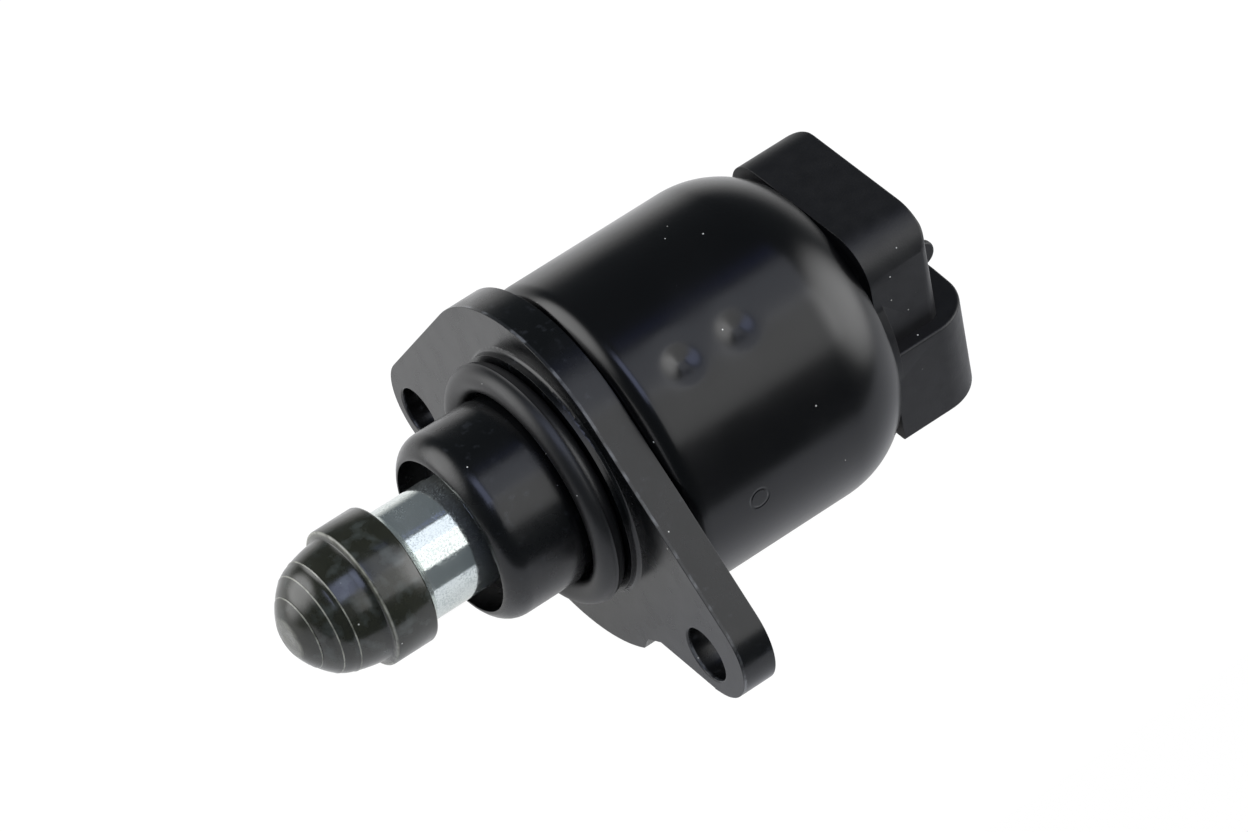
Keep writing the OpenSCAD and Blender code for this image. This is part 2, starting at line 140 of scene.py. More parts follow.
def finish_mesh(name, mesh, body, slot, material, *nodes):
    """Makes a mesh a piece of the object: it rides on a body and stands for its CAD nodes."""
    piece = bpy.data.objects.new(name, mesh)
    bpy.context.scene.collection.objects.link(piece)
    piece.data.materials.append(material)
    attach(piece, body)
    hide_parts(*nodes)
    return piece


def lathe(name, outline, angles=None, steps=192, sharp=30.0):
    """A closed outline of (x, radius) in millimetres, turned about the valve axis."""
    if angles is None:
        angles = [2 * math.pi * i / steps for i in range(steps)]
    made = bmesh.new()
    rings = []
    for x, r in outline:
        if r < ON_AXIS:
            rings.append([made.verts.new((x * MM, 0, 0))])
        else:
            rings.append([made.verts.new((x * MM, -r * MM * math.sin(a), r * MM * math.cos(a)))
                          for a in angles])
    count = len(angles)
    for one, two in zip(rings, rings[1:] + rings[:1]):
        for i in range(count):
            j = (i + 1) % count
            corners = [one[i % len(one)], one[j % len(one)], two[j % len(two)], two[i % len(two)]]
            unique = list(dict.fromkeys(corners))
            if len(unique) > 2:
                made.faces.new(unique)
    bmesh.ops.recalc_face_normals(made, faces=made.faces)
    mesh = bpy.data.meshes.new(name)
    made.to_mesh(mesh)
    made.free()
    mesh.shade_smooth()
    mesh.set_sharp_from_angle(angle=math.radians(sharp))
    return mesh


def black_e_coat():
    """Baked black dip coat on steel: even and glossy, with a faint orange peel and a little dust."""
    made, tree, place = new_material("black_e_coat_on_drawn_steel")
    specks = dust(tree, place, 2.2, 0.22)
    colour = add(tree, "ShaderNodeMix", {0: specks, 6: CAN_COAT, 7: DUST}, out=2, data_type="RGBA")
    haze = add(tree, "ShaderNodeTexNoise", {"Vector": place, "Scale": 1 / (9.0 * MM), "Detail": 4.0})
    rough = add(tree, "ShaderNodeMapRange", {
        "Value": haze, "From Min": 0.35, "From Max": 0.65, "To Min": 0.2, "To Max": 0.27})
    peel = add(tree, "ShaderNodeTexNoise", {"Vector": place, "Scale": 1 / (1.6 * MM), "Detail": 1.0})
    peel = add(tree, "ShaderNodeBump", {"Height": peel, "Distance": 0.004 * MM})
    turn = math.radians(ring_mark[1])
    centre = (ring_mark[0] * MM, -can_r * math.sin(turn) * MM, can_r * math.cos(turn) * MM)
    far = add(tree, "ShaderNodeVectorMath", {0: place, 1: centre}, out="Value", operation="DISTANCE")
    off = add(tree, "ShaderNodeMath", {0: far, 1: ring_mark_r * MM}, operation="SUBTRACT")
    off = add(tree, "ShaderNodeMath", {0: off}, operation="ABSOLUTE")
    stamped = add(tree, "ShaderNodeMapRange", {
        "Value": off, "From Min": groove_floor * MM, "From Max": groove_edge * MM})
    normal = add(tree, "ShaderNodeBump", {
        "Height": stamped, "Distance": groove_depth * MM, "Normal": peel})
    shader = add(tree, "ShaderNodeBsdfPrincipled", {
        "Base Color": colour, "Roughness": rough, "IOR": 1.48, "Normal": normal})
    add(tree, "ShaderNodeOutputMaterial", {"Surface": shader})
    return made


def dent_lift(x, degrees):
    """How far the punch moved the wall outwards, in millimetres, at a place on the can."""
    lift = 0.0
    for dent_x, dent_angle in dents:
        across = math.radians(degrees - dent_angle) * can_r
        far = math.hypot(x - dent_x, across)
        lift -= dent_depth * math.exp(-(far / dent_reach) ** 2)
    return lift


shoulder_r = can_r - shoulder_round
lip_angle = math.degrees(math.acos((can_x1 - shoulder_x - rim_round) / (shoulder_round - rim_round)))
lip_r = shoulder_r + (shoulder_round - rim_round) * math.sin(math.radians(lip_angle))
in_angle = math.degrees(math.acos((can_x1 - shoulder_x) / (shoulder_round - can_wall)))
can_out = (
    [(can_x0, can_hole_r), (can_x0, can_r - front_round - face_ring)]
    + arc(can_x0 + front_round, can_r - front_round, front_round, 180, 90, steps=14)
    + [(can_x0 + front_round + wall_step * i, can_r)
       for i in range(1, int((shoulder_x - can_x0 - front_round) / wall_step))]
    + arc(shoulder_x, shoulder_r, shoulder_round, 90, lip_angle, steps=36)
    + arc(can_x1 - rim_round, lip_r, rim_round, lip_angle, 0, steps=6)[1:]
)
can_in = (
    arc(shoulder_x, shoulder_r, shoulder_round - can_wall, in_angle, 90, steps=16)
    + arc(can_x0 + front_round, can_r - front_round, front_round - can_wall, 90, 180, steps=6)
    + [(can_x0 + can_wall, can_hole_r)]
)
fine_start = dents[0][1] - fine_span / 2
fine_end = dents[0][1] + fine_span / 2
can_angles = [math.radians(fine_start + fine_span * i / fine_steps) for i in range(fine_steps + 1)]
can_angles += [math.radians(fine_end + (360 - fine_span) * i / coarse_steps)
               for i in range(1, coarse_steps)]
can_mesh = lathe("can_shell", can_out + can_in, can_angles)
for vertex in can_mesh.vertices:
    x = vertex.co.x / MM
    radius = math.hypot(vertex.co.y, vertex.co.z)
    on_wall = radius / MM > can_r - can_wall - 0.01
    if on_wall and front_round < x - can_x0 < shoulder_x - can_x0:
        lift = dent_lift(x, math.degrees(math.atan2(-vertex.co.y, vertex.co.z)))
        scale = 1 + lift * MM / radius
        vertex.co.y *= scale
        vertex.co.z *= scale
finish_mesh("can_shell", can_mesh, "housing", "black_coated_steel", black_e_coat(), "can")


# Stator: four claw-pole plates pressed from soft iron and nickel dipped, and between them two
# moulded bobbins wound with enamelled copper wire. The can holds the stack together.
IRON = "#8d9093"
IRON_PALE = "#a5a7a8"
NYLON = "#d6cfae"
NYLON_DARK = "#cbc39f"
WIRE = "#9c4a22"
# Darker brown painted into the grooves between turns, as their shade
WIRE_GROOVE_SHADE = "#5d2510"
wire_pitch = 0.25
# A wave texture of scale one has bands this many metres apart
WAVE_SPAN = 0.314
# Edges bent by less than CREASE stay as they are, and faces bent by less than FLAT become one
CREASE = math.radians(32)
FLAT = math.radians(0.3)


def soft_iron():
    """Pressed soft iron with a thin dull nickel dip: grey, faintly mottled."""
    made, tree, place = new_material("nickel_dipped_soft_iron")
    mottle = add(tree, "ShaderNodeTexNoise", {"Vector": place, "Scale": 1 / (0.8 * MM), "Detail": 3.0})
    colour = add(tree, "ShaderNodeMix", {0: mottle, 6: IRON, 7: IRON_PALE}, out=2, data_type="RGBA")
    dull = add(tree, "ShaderNodeTexNoise", {"Vector": place, "Scale": 1 / (2.0 * MM), "Detail": 4.0})
    rough = add(tree, "ShaderNodeMapRange", {
        "Value": dull, "From Min": 0.3, "From Max": 0.7, "To Min": 0.32, "To Max": 0.46})
    grain = add(tree, "ShaderNodeTexNoise", {"Vector": place, "Scale": 1 / (0.25 * MM)})
    normal = add(tree, "ShaderNodeBump", {"Height": grain, "Distance": 0.003 * MM})
    shader = add(tree, "ShaderNodeBsdfPrincipled", {
        "Base Color": colour, "Metallic": 1.0, "Roughness": rough, "Normal": normal})
    add(tree, "ShaderNodeOutputMaterial", {"Surface": shader})
    return made


def bobbin_nylon():
    """Natural moulded nylon: cream and matt, a little uneven in its tone."""
    made, tree, place = new_material("natural_moulded_nylon")
    tone = add(tree, "ShaderNodeTexNoise", {"Vector": place, "Scale": 1 / (5.0 * MM)})
    colour = add(tree, "ShaderNodeMix", {0: tone, 6: NYLON, 7: NYLON_DARK}, out=2, data_type="RGBA")
    grain = add(tree, "ShaderNodeTexNoise", {"Vector": place, "Scale": 1 / (0.3 * MM)})
    normal = add(tree, "ShaderNodeBump", {"Height": grain, "Distance": 0.004 * MM})
    shader = add(tree, "ShaderNodeBsdfPrincipled", {
        "Base Color": colour, "Roughness": 0.45, "IOR": 1.53, "Normal": normal})
    add(tree, "ShaderNodeOutputMaterial", {"Surface": shader})
    return made


def enamelled_copper():
    """Winding of fine enamelled wire: reddish brown turns side by side, with a gloss and painted shade
    in the grooves between them.
    """
    made, tree, place = new_material("enamelled_copper_winding")
    turns = add(tree, "ShaderNodeTexWave", {
        "Vector": place, "Scale": WAVE_SPAN / (wire_pitch * MM), "Distortion": 0.4},
        out="Fac", bands_direction="X")
    colour = add(tree, "ShaderNodeMix", {0: turns, 6: WIRE_GROOVE_SHADE, 7: WIRE}, out=2, data_type="RGBA")
    normal = add(tree, "ShaderNodeBump", {"Height": turns, "Distance": 0.08 * MM})
    shader = add(tree, "ShaderNodeBsdfPrincipled", {
        "Base Color": colour, "Metallic": 0.7, "Roughness": 0.3, "Normal": normal})
    add(tree, "ShaderNodeOutputMaterial", {"Surface": shader})
    return made


def dress(names, material, edge=0.0):
    """Gives CAD nodes their finish, and rounds their edges by edge millimetres."""
    for name in names:
        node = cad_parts[name]
        node.data.materials.clear()
        node.data.materials.append(material)
        if edge:
            weld = node.modifiers.new("weld", "WELD")
            weld.merge_threshold = 0.001 * MM
            flat = node.modifiers.new("flat", "DECIMATE")
            flat.decimate_type = "DISSOLVE"
            flat.angle_limit = FLAT
            soft = node.modifiers.new("edge", "BEVEL")
            soft.width = edge * MM
            soft.segments = 3
            soft.limit_method = "ANGLE"
            soft.angle_limit = CREASE
            soft.harden_normals = True


dress(["front_pole_cup", "front_pole_plate", "rear_pole_plate", "rear_pole_cup"], soft_iron())
dress(["front_bobbin", "rear_bobbin"], bobbin_nylon())
dress(["front_winding", "rear_winding"], enamelled_copper())


# Rotor: a ring magnet of sintered ferrite, glued on a moulded hub whose bore is the screw's nut.
# The rear end of the hub turns in a sintered bronze bush.
FERRITE = "#2b2c2f"
FERRITE_PALE = "#3d3f43"
ACETAL = "#dcd6c6"
ACETAL_DARK = "#cfc8b5"
BRONZE = "#a67f45"
BRONZE_PORE = "#4a3a1f"


def ferrite():
    """Sintered ferrite: dark grey, matt, with fine grain."""
    made, tree, place = new_material("sintered_ferrite")
    fleck = add(tree, "ShaderNodeTexNoise", {"Vector": place, "Scale": 1 / (0.4 * MM), "Detail": 4.0})
    colour = add(tree, "ShaderNodeMix", {0: fleck, 6: FERRITE, 7: FERRITE_PALE}, out=2,
                 data_type="RGBA")
    grain = add(tree, "ShaderNodeTexNoise", {"Vector": place, "Scale": 1 / (0.15 * MM)})
    normal = add(tree, "ShaderNodeBump", {"Height": grain, "Distance": 0.006 * MM})
    shader = add(tree, "ShaderNodeBsdfPrincipled", {
        "Base Color": colour, "Roughness": 0.55, "IOR": 1.9, "Normal": normal})
    add(tree, "ShaderNodeOutputMaterial", {"Surface": shader})
    return made


def nut_acetal():
    """Moulded acetal with a waxy sheen, for the nut hub."""
    made, tree, place = new_material("moulded_acetal")
    tone = add(tree, "ShaderNodeTexNoise", {"Vector": place, "Scale": 1 / (4.0 * MM)})
    colour = add(tree, "ShaderNodeMix", {0: tone, 6: ACETAL, 7: ACETAL_DARK}, out=2, data_type="RGBA")
    grain = add(tree, "ShaderNodeTexNoise", {"Vector": place, "Scale": 1 / (0.5 * MM)})
    normal = add(tree, "ShaderNodeBump", {"Height": grain, "Distance": 0.003 * MM})
    shader = add(tree, "ShaderNodeBsdfPrincipled", {
        "Base Color": colour, "Roughness": 0.35, "IOR": 1.48, "Normal": normal})
    add(tree, "ShaderNodeOutputMaterial", {"Surface": shader})
    return made


def sintered_bronze():
    """Oil-filled sintered bronze: brown yellow metal with open pores."""
    made, tree, place = new_material("sintered_bronze")
    grain = add(tree, "ShaderNodeTexNoise", {"Vector": place, "Scale": 1 / (0.12 * MM), "Detail": 3.0})
    solid = add(tree, "ShaderNodeMapRange", {"Value": grain, "From Min": 0.35, "From Max": 0.5})
    colour = add(tree, "ShaderNodeMix", {0: solid, 6: BRONZE_PORE, 7: BRONZE}, out=2, data_type="RGBA")
    normal = add(tree, "ShaderNodeBump", {"Height": solid, "Distance": 0.01 * MM})
    shader = add(tree, "ShaderNodeBsdfPrincipled", {
        "Base Color": colour, "Metallic": 0.9, "Roughness": 0.42, "Normal": normal})
    add(tree, "ShaderNodeOutputMaterial", {"Surface": shader})
    return made


bronze = sintered_bronze()
dress(["rotor_magnet"], ferrite())
dress(["rotor_nut"], nut_acetal())
dress(["rear_bush"], bronze)


# Ball bearing: ground steel rings and balls in a bronze cage. The outer ring is pressed in the
# flange's hub, and a thin steel washer loads it.
STEEL = "#b9bcc0"
STEEL_PALE = "#d2d4d6"
line_pitch = 0.08


def ground_steel():
    """Ground bearing steel: bright, with fine turned lines round the axis."""
    made, tree, place = new_material("ground_bearing_steel")
    tone = add(tree, "ShaderNodeTexNoise", {"Vector": place, "Scale": 1 / (1.5 * MM)})
    colour = add(tree, "ShaderNodeMix", {0: tone, 6: STEEL, 7: STEEL_PALE}, out=2, data_type="RGBA")
    lines = add(tree, "ShaderNodeTexWave", {
        "Vector": place, "Scale": WAVE_SPAN / (line_pitch * MM), "Distortion": 1.5},
        out="Fac", bands_direction="X")
    normal = add(tree, "ShaderNodeBump", {"Height": lines, "Distance": 0.001 * MM})
    shader = add(tree, "ShaderNodeBsdfPrincipled", {
        "Base Color": colour, "Metallic": 1.0, "Roughness": 0.18, "Normal": normal})
    add(tree, "ShaderNodeOutputMaterial", {"Surface": shader})
    return made


steel = ground_steel()
dress(["bearing_outer_ring", "bearing_inner_ring", "bearing_balls", "preload_washer"], steel)
dress(["ball_cage"], bronze)


# Flange and nose: one moulding in black glass-filled plastic, with the screw ears, the boss for
# the seal ring and the nose that enters the throttle body. The mould left it satin and its
# corners slightly round.
MOULDING = "#08090a"
MOULDING_SCUFF = "#34363a"
# Pale colour of the painted highlight on the flange's front edge
MOULDING_EDGE_HIGHLIGHT = "#6c6e70"
# The two screw holes, and how far round their middles their edges lie
holes_y = (-22.7, 26.3)
holes_z = -10.1
hole_reach = 3.3
# Beyond the first radius lies the flange's outline, beyond the second the boss's edge
outline_from_r = 15.0
boss_from_r = 12.5
flange_back_from_x = 3.9


def glass_filled_plastic():
    """Black glass-filled nylon from a polished mould: satin gloss, with pale scuffs, some dust and a
    painted highlight along the front edge.
    """
    made, tree, place = new_material("black_glass_filled_nylon")
    marks = add(tree, "ShaderNodeTexNoise", {"Vector": place, "Scale": 1 / (1.1 * MM), "Detail": 6.0})
    scuffs = add(tree, "ShaderNodeMapRange", {
        "Value": marks, "From Min": 0.6, "From Max": 0.72, "To Min": 0, "To Max": 0.4})
    colour = add(tree, "ShaderNodeMix", {0: scuffs, 6: MOULDING, 7: MOULDING_SCUFF}, out=2,
                 data_type="RGBA")
    # Painted highlight: the flange's front edge, a band just behind the face at zero, is painted pale
    # here and there, where its chamfer mirrors the lamps
    depth = add(tree, "ShaderNodeSeparateXYZ", {"Vector": place}, out="X")
    band_start = add(tree, "ShaderNodeMapRange", {
        "Value": depth, "From Min": 0.02 * MM, "From Max": 0.1 * MM})
    band_end = add(tree, "ShaderNodeMapRange", {
        "Value": depth, "From Min": 0.42 * MM, "From Max": 0.3 * MM})
    band = add(tree, "ShaderNodeMath", {0: band_start, 1: band_end}, operation="MULTIPLY")
    pale_share = add(tree, "ShaderNodeTexNoise", {"Vector": place, "Scale": 1 / (2.2 * MM), "Detail": 5.0})
    pale_share = add(tree, "ShaderNodeMapRange", {
        "Value": pale_share, "From Min": 0.45, "From Max": 0.6, "To Min": 0.1, "To Max": 0.8})
    edge_highlight = add(tree, "ShaderNodeMath", {0: band, 1: pale_share}, operation="MULTIPLY")
    colour = add(tree, "ShaderNodeMix", {0: edge_highlight, 6: colour, 7: MOULDING_EDGE_HIGHLIGHT}, out=2,
                 data_type="RGBA")
    specks = dust(tree, place, 2.3, 0.2)
    colour = add(tree, "ShaderNodeMix", {0: specks, 6: colour, 7: DUST}, out=2, data_type="RGBA")
    haze = add(tree, "ShaderNodeTexNoise", {"Vector": place, "Scale": 1 / (3.0 * MM), "Detail": 5.0})
    rough = add(tree, "ShaderNodeMapRange", {
        "Value": haze, "From Min": 0.3, "From Max": 0.7, "To Min": 0.2, "To Max": 0.3})
    grain = add(tree, "ShaderNodeTexNoise", {"Vector": place, "Scale": 1 / (0.35 * MM), "Detail": 3.0})
    normal = add(tree, "ShaderNodeBump", {"Height": grain, "Distance": 0.004 * MM})
    shader = add(tree, "ShaderNodeBsdfPrincipled", {
        "Base Color": colour, "Roughness": rough, "IOR": 1.5, "Normal": normal})
    add(tree, "ShaderNodeOutputMaterial", {"Surface": shader})
    return made


def rounded_copy(name, node, width_at):
    """A copy of a CAD node with its outer edges rounded; width_at gives millimetres for a place."""
    made = bmesh.new()
    made.from_mesh(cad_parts[node].data)
    bmesh.ops.remove_doubles(made, verts=made.verts, dist=0.002 * MM)
    bmesh.ops.dissolve_limit(made, angle_limit=FLAT, verts=made.verts, edges=made.edges)
    for face in made.faces:
        face.smooth = True
    for edge in made.edges:
        edge.smooth = edge.is_convex or edge.calc_face_angle() < CREASE

    def width_of(edge):
        if not edge.is_convex or edge.calc_face_angle() < CREASE:
            return 0
        return width_at((edge.verts[0].co + edge.verts[1].co) / 2 / MM)

    for width in sorted({width_of(edge) for edge in made.edges} - {0}, reverse=True):
        sharp = [edge for edge in made.edges if width_of(edge) == width]
        bmesh.ops.bevel(made, geom=sharp, offset=width * MM, offset_type="OFFSET", segments=4,
                        profile=0.5, affect="EDGES", clamp_overlap=True)
    mesh = bpy.data.meshes.new(name)
    made.to_mesh(mesh)
    made.free()
    return mesh


def flange_edge(place):
    """Rounding of the flange's and nose's edges: wide behind, fine in front and inside."""
    r = math.hypot(place.y, place.z)
    to_hole = min(math.hypot(place.y - y, place.z - holes_z) for y in holes_y)
    if to_hole < hole_reach:
        return 0.25
    if r > outline_from_r:
        return 1.2 if place.x > flange_back_from_x else 0.3
    return 0.15 if r > boss_from_r else 0.05


moulding = glass_filled_plastic()
flange = finish_mesh("flange_and_nose", rounded_copy("flange_and_nose", "flange_nose", flange_edge),
                     "housing", "black_moulding", moulding, "flange_nose")
flange.modifiers.new("even_light", "WEIGHTED_NORMAL").keep_sharp = True
dress(["guide_bush"], bronze)


# Seal rings: moulded nitrile rubber. The big ring sits on the nose against the boss, with the
# thin flash line that its two-part mould leaves, the others are inside.
RUBBER = "#0d0d0e"
RUBBER_PALE = "#171718"
ring_low, ring_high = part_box("o_ring")
ring_section = (ring_high.x - ring_low.x) / 2 / MM
ring_x = (ring_low.x + ring_high.x) / 2 / MM
ring_r = ring_high.z / MM - ring_section
flash = 0.09


def nitrile_rubber():
    """Black nitrile rubber: dull, with a soft sheen and fine dust on it."""
    made, tree, place = new_material("black_nitrile_rubber")
    tone = add(tree, "ShaderNodeTexNoise", {"Vector": place, "Scale": 1 / (2.0 * MM)})
    colour = add(tree, "ShaderNodeMix", {0: tone, 6: RUBBER, 7: RUBBER_PALE}, out=2, data_type="RGBA")
    specks = dust(tree, place, 1.6, 0.18)
    colour = add(tree, "ShaderNodeMix", {0: specks, 6: colour, 7: DUST}, out=2, data_type="RGBA")
    grain = add(tree, "ShaderNodeTexNoise", {"Vector": place, "Scale": 1 / (0.4 * MM), "Detail": 4.0})
    normal = add(tree, "ShaderNodeBump", {"Height": grain, "Distance": 0.01 * MM})
    shader = add(tree, "ShaderNodeBsdfPrincipled", {
        "Base Color": colour, "Roughness": 0.42, "IOR": 1.52, "Normal": normal})
    add(tree, "ShaderNodeOutputMaterial", {"Surface": shader})
    return made


rubber = nitrile_rubber()
ring_outline = []
for degrees in range(0, 360, 6):
    turn = math.radians(degrees)
    bulge = flash if degrees in (90, 270) else 0.0
    ring_outline.append((ring_x + ring_section * math.cos(turn),
                         ring_r + (ring_section - flash + bulge) * math.sin(turn)))
finish_mesh("seal_ring", lathe("seal_ring", ring_outline, steps=240, sharp=60), "housing",
            "black_rubber", rubber, "o_ring")
dress(["wiper_seal", "rear_seal"], rubber)


# Pintle tube: a turned steel sleeve, zinc plated and clear passivated, so it is bright with a
# fine frost in it. Two slots in its rear end run on the keys of the guide bush.
ZINC = "#e4eae6"
ZINC_FROST = "#c8d1ce"


def bright_zinc():
    """Bright zinc plate: a cool silver mirror, with grains of frost that blur it and sparkle."""
    made, tree, place = new_material("bright_zinc_plate")
    # Real frost is finer than a pixel, so its grains are drawn about 0.2 mm wide to show
    grains = add(tree, "ShaderNodeTexNoise", {"Vector": place, "Scale": 1 / (0.2 * MM), "Detail": 5.0})
    grains = add(tree, "ShaderNodeMapRange", {"Value": grains, "From Min": 0.46, "From Max": 0.62})
    patches = add(tree, "ShaderNodeTexNoise", {"Vector": place, "Scale": 1 / (2.5 * MM), "Detail": 3.0})
    patches = add(tree, "ShaderNodeMapRange", {
        "Value": patches, "From Min": 0.35, "From Max": 0.65, "To Min": 0.25, "To Max": 1})
    frost = add(tree, "ShaderNodeMath", {0: grains, 1: patches}, operation="MULTIPLY")
    colour = add(tree, "ShaderNodeMix", {0: frost, 6: ZINC, 7: ZINC_FROST}, out=2, data_type="RGBA")
    metal = add(tree, "ShaderNodeMapRange", {"Value": frost, "To Min": 0.9, "To Max": 0.78})
    rough = add(tree, "ShaderNodeMapRange", {"Value": frost, "To Min": 0.08, "To Max": 0.3})
    ripple = add(tree, "ShaderNodeTexNoise", {"Vector": place, "Scale": 1 / (0.3 * MM), "Detail": 3.0})
    normal = add(tree, "ShaderNodeBump", {"Height": ripple, "Distance": 0.004 * MM})
    shader = add(tree, "ShaderNodeBsdfPrincipled", {
        "Base Color": colour, "Metallic": metal, "Roughness": rough, "Normal": normal})
    add(tree, "ShaderNodeOutputMaterial", {"Surface": shader})
    return made


dress(["pintle_tube"], bright_zinc())


# Lead screw: turned from bearing steel, with a thread of 1 mm a turn that runs in the rotor's
# nut. The plug is moulded on its front end, and its collar bears on the tube's front wall.
screw_low, screw_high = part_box("lead_screw")
screw_x0 = screw_low.x / MM
screw_x1 = screw_high.x / MM
screw_r = 2.4
screw_chamfer = 0.3
collar_x0 = -18.0 + 0.02
collar_x1 = -17.0
collar_r = 3.8
thread_x0 = -2.0
thread_pitch = 1.0
thread_depth = 0.4
thread_cuts = 8
flank_slope = 2.6
run_in = 1.5
run_out = 0.7
end_share = 0.2

thread_mesh = lathe("lead_screw_thread", (
    [(screw_x0, 0), (screw_x0, screw_r - screw_chamfer), (screw_x0 + screw_chamfer, screw_r)]
    + [(collar_x0, screw_r), (collar_x0, collar_r), (collar_x1, collar_r), (collar_x1, screw_r)]
    + [(thread_x0 + i * thread_pitch / thread_cuts, screw_r)
       for i in range(int((screw_x1 - thread_x0) / thread_pitch * thread_cuts))]
    + [(screw_x1, screw_r), (screw_x1, 0)]), steps=64)
for vertex in thread_mesh.vertices:
    x = vertex.co.x / MM
    radius = math.hypot(vertex.co.y, vertex.co.z)
    if x > thread_x0 - 0.01 and radius > 0:
        turn = math.atan2(-vertex.co.y, vertex.co.z) / (2 * math.pi)
        phase = (x / thread_pitch - turn) % 1.0
        share = min(1.0, (x - thread_x0) / run_in, (screw_x1 - x) / run_out + end_share)
        groove = max(0.0, 1 - flank_slope * abs(phase - 0.5)) * thread_depth * share
        vertex.co.y *= 1 - groove * MM / radius
        vertex.co.z *= 1 - groove * MM / radius
finish_mesh("lead_screw_thread", thread_mesh, "pintle", "bearing_steel", steel, "lead_screw")


# Plug: the pintle's head, moulded in dark heat-proof plastic over the end of the screw. Its
# stepped cone meters the air, and the fine ridge at each step is drawn paler.
PLUG = "#1f2018"
PLUG_PALE = "#2b2c22"
PLUG_SCUFF = "#565c59"
PLUG_RIDGE_PALE = "#a3a396"
plug_low, plug_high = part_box("pintle_head")
plug_back = plug_high.x / MM
plug_tip = plug_low.x / MM
plug_r = plug_high.z / MM
plug_sides = 192
plug_face = 5.0
plug_bore_r = 2.45
plug_bore_gap = 0.02
# Each step of the cone: millimetres behind the tip, and inside the plug's full radius
plug_steps = [(4.3, 1.45), (2.73, 2.18), (1.2, 3.72)]
plug_tip_in = 5.62
ridge = 0.05
step_swell = 0.36
tip_swell = 0.5


def plug_plastic():
    """Dark olive phenolic: hard and glossy with fine scratches, paler along the ridges and at the tip.
    """
    made, tree, place = new_material("dark_moulded_phenolic")
    tone = add(tree, "ShaderNodeTexNoise", {"Vector": place, "Scale": 1 / (1.2 * MM), "Detail": 5.0})
    colour = add(tree, "ShaderNodeMix", {0: tone, 6: PLUG, 7: PLUG_PALE}, out=2, data_type="RGBA")
    marks = add(tree, "ShaderNodeTexNoise", {"Vector": place, "Scale": 1 / (1.8 * MM), "Detail": 4.0})
    scuffs = add(tree, "ShaderNodeMapRange", {
        "Value": marks, "From Min": 0.5, "From Max": 0.72, "To Min": 0, "To Max": 0.5})
    colour = add(tree, "ShaderNodeMix", {0: scuffs, 6: colour, 7: PLUG_SCUFF}, out=2, data_type="RGBA")
    ridge_pale = add(tree, "ShaderNodeAttribute", out="Fac", attribute_name="pale_share")
    patches = add(tree, "ShaderNodeTexNoise", {"Vector": place, "Scale": 1 / (0.9 * MM), "Detail": 4.0})
    patches = add(tree, "ShaderNodeMapRange", {
        "Value": patches, "From Min": 0.3, "From Max": 0.6, "To Min": 0.35, "To Max": 1})
    ridge_pale = add(tree, "ShaderNodeMath", {0: ridge_pale, 1: patches}, operation="MULTIPLY")
    colour = add(tree, "ShaderNodeMix", {0: ridge_pale, 6: colour, 7: PLUG_RIDGE_PALE}, out=2, data_type="RGBA")
    specks = dust(tree, place, 2.2, 0.2)
    colour = add(tree, "ShaderNodeMix", {0: specks, 6: colour, 7: DUST}, out=2, data_type="RGBA")
    haze = add(tree, "ShaderNodeTexNoise", {"Vector": place, "Scale": 1 / (2.0 * MM), "Detail": 4.0})
    rough = add(tree, "ShaderNodeMapRange", {
        "Value": haze, "From Min": 0.3, "From Max": 0.7, "To Min": 0.14, "To Max": 0.24})
    grain = add(tree, "ShaderNodeTexNoise", {"Vector": place, "Scale": 1 / (0.6 * MM)})
    normal = add(tree, "ShaderNodeBump", {"Height": grain, "Distance": 0.005 * MM})
    shader = add(tree, "ShaderNodeBsdfPrincipled", {
        "Base Color": colour, "Roughness": rough, "IOR": 1.58, "Normal": normal})
    add(tree, "ShaderNodeOutputMaterial", {"Surface": shader})
    return made


def domed(x, r, parts, swell):
    """Points not drawn paler, from the last one of the plug's shape towards (x, r), bulged out between
    them.
    """
    from_x, from_r, pale_share = plug_shape[-1]
    return [(from_x + (x - from_x) * part, from_r + (r - from_r) * part + swell * part * (1 - part), 0)
            for part in parts]


# The plug's shape from its back to its tip: place along the axis, radius, and how much paler it is drawn
step_x = plug_back - plug_face
plug_shape = [
    (plug_back, plug_bore_r, 0),
    (plug_back, plug_r - 0.3, 0),
    (plug_back - 0.1, plug_r - 0.09, 0),
    (plug_back - 0.3, plug_r, 0),
    (step_x + 0.2, plug_r, 0),
    (step_x + 0.06, plug_r - 0.04, 0.8),
    (step_x, plug_r - 0.16, 1),
    (step_x - 0.03, plug_r - 0.3, 0.4),
    (step_x - 0.1, plug_r - 0.72, 0),
    (step_x - 0.2, plug_r - 0.8, 0),
]
for from_tip, inside in plug_steps:
    x = plug_tip + from_tip
    r = plug_r - inside
    plug_shape += domed(x, r, (0.25, 0.5, 0.75), step_swell)
    plug_shape += [
        (x + 0.1, r + 0.03, 0),
        (x + 0.06, r + ridge + 0.02, 1),
        (x - 0.03, r + ridge - 0.03, 1),
        (x - 0.07, r - 0.04, 0),
    ]
tip_r = plug_r - plug_tip_in
plug_shape += domed(plug_tip, tip_r, (0.3, 0.6, 0.85), tip_swell)
plug_shape += [
    (plug_tip + 0.04, tip_r + 0.06, 0.4),
    (plug_tip, tip_r - 0.05, 0.4),
    (plug_tip, 0.9, 0.3),
    (plug_tip + 0.05, 0, 0.3),
    (screw_x0 - plug_bore_gap, 0, 0),
    (screw_x0 - plug_bore_gap, plug_bore_r, 0),
]
plug_mesh = lathe("plug", [(x, r) for x, r, pale_share in plug_shape], steps=plug_sides, sharp=50)
pale_share_values = []
for x, r, pale_share in plug_shape:
    pale_share_values += [pale_share] * (1 if r < ON_AXIS else plug_sides)
plug_mesh.attributes.new("pale_share", "FLOAT", "POINT").data.foreach_set("value", pale_share_values)
